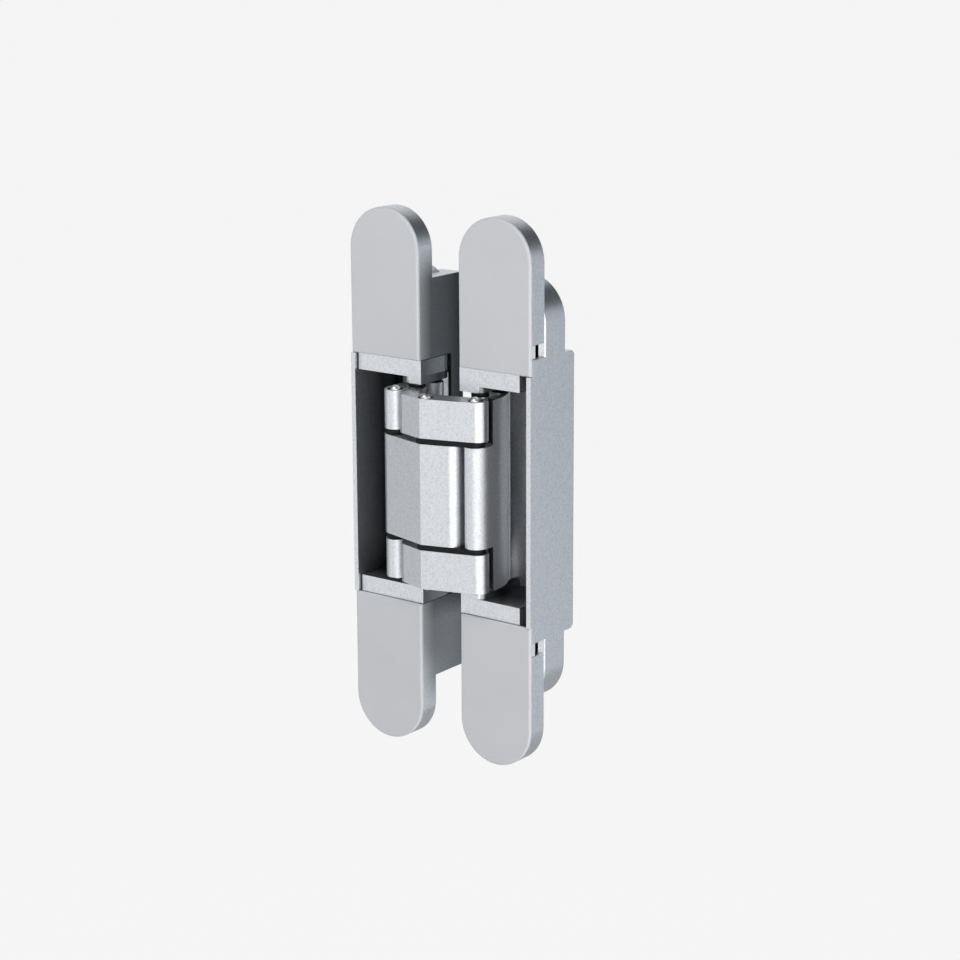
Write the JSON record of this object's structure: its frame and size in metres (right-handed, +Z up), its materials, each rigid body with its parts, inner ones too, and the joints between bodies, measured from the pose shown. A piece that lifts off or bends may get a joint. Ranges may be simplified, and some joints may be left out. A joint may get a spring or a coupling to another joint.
{
  "type": "concealed door hinge",
  "caption": "Concealed door hinge: slim round-ended leaves with covered screws, joined by crossed arms and links on upright pins that fold into the leaves' pockets as the door closes.",
  "frame": {"origin": "middle of the left leaf, on the shoulder that rests in the routed recess", "axes": "+X from the left leaf across to the right one, +Y into the door and the frame, +Z up along the leaves and the pins"},
  "size_m": [0.0622, 0.029, 0.155],
  "materials": {
    "cast_metal": "fine-grained satin silver lacquer on die-cast zinc",
    "cap_plastic": "smooth light grey moulded plastic",
    "pin_steel": "polished steel",
    "washer_plastic": "black self-lubricating plastic",
    "screw_steel": "satin zinc-plated steel"
  },
  "bodies": {
    "left_leaf": {"left_casing": "cast_metal", "left_upper_cap": "cap_plastic", "left_lower_cap": "cap_plastic", "left_upper_block": "cast_metal", "left_lower_block": "cast_metal", "left_clamp_screws": "screw_steel", "left_arm_pin": "pin_steel"},
    "outer_arm": {"outer_arm": "cast_metal", "crossing_pin": "pin_steel", "right_knuckle_pin": "pin_steel", "outer_arm_washers": "washer_plastic"},
    "inner_arm": {"inner_arm": "cast_metal", "left_knuckle_pin": "pin_steel", "inner_arm_washers": "washer_plastic"},
    "left_link": {"left_link": "cast_metal", "left_link_pin": "pin_steel"},
    "right_link": {"right_link": "cast_metal", "right_link_pin": "pin_steel"},
    "right_carriage": {"right_upper_block": "cast_metal", "right_lower_block": "cast_metal", "right_arm_pin": "pin_steel"},
    "right_leaf": {"right_casing": "cast_metal", "right_upper_cap": "cap_plastic", "right_lower_cap": "cap_plastic", "right_clamp_screws": "screw_steel"}
  },
  "joints": [
    {"name": "fold", "type": "hinge", "parent": "left_leaf", "child": "outer_arm", "pos_m": [0.008, -0.00225, 0], "axis": [0, 0, 1], "range_deg": [-111.8, 0]},
    {"name": "cross_turn", "type": "hinge", "parent": "outer_arm", "child": "inner_arm", "pos_m": [0.0191, -0.0125, 0], "axis": [0, 0, 1], "range_deg": [0, 43.62]},
    {"name": "left_link_turn", "type": "hinge", "parent": "inner_arm", "child": "left_link", "pos_m": [0.0051, -0.00834, 0], "axis": [0, 0, 1], "range_deg": [-12.38, 0]},
    {"name": "right_link_turn", "type": "hinge", "parent": "outer_arm", "child": "right_link", "pos_m": [0.0331, -0.00834, 0], "axis": [0, 0, 1], "range_deg": [0, 12.38]},
    {"name": "carriage_turn", "type": "hinge", "parent": "inner_arm", "child": "right_carriage", "pos_m": [0.0302, -0.00225, 0], "axis": [0, 0, 1], "range_deg": [-111.82, 0]},
    {"name": "side_adjust", "type": "slide", "parent": "right_carriage", "child": "right_leaf", "axis": [1, 0, 0], "range_m": [-0.0005, 0.0015]}
  ],
  "couplings": [
    {"joint": "cross_turn", "follows": "fold", "ratio": -0.39},
    {"joint": "left_link_turn", "follows": "fold", "ratio": 0.1106},
    {"joint": "right_link_turn", "follows": "fold", "ratio": -0.1106},
    {"joint": "carriage_turn", "follows": "fold", "ratio": 1}
  ]
}
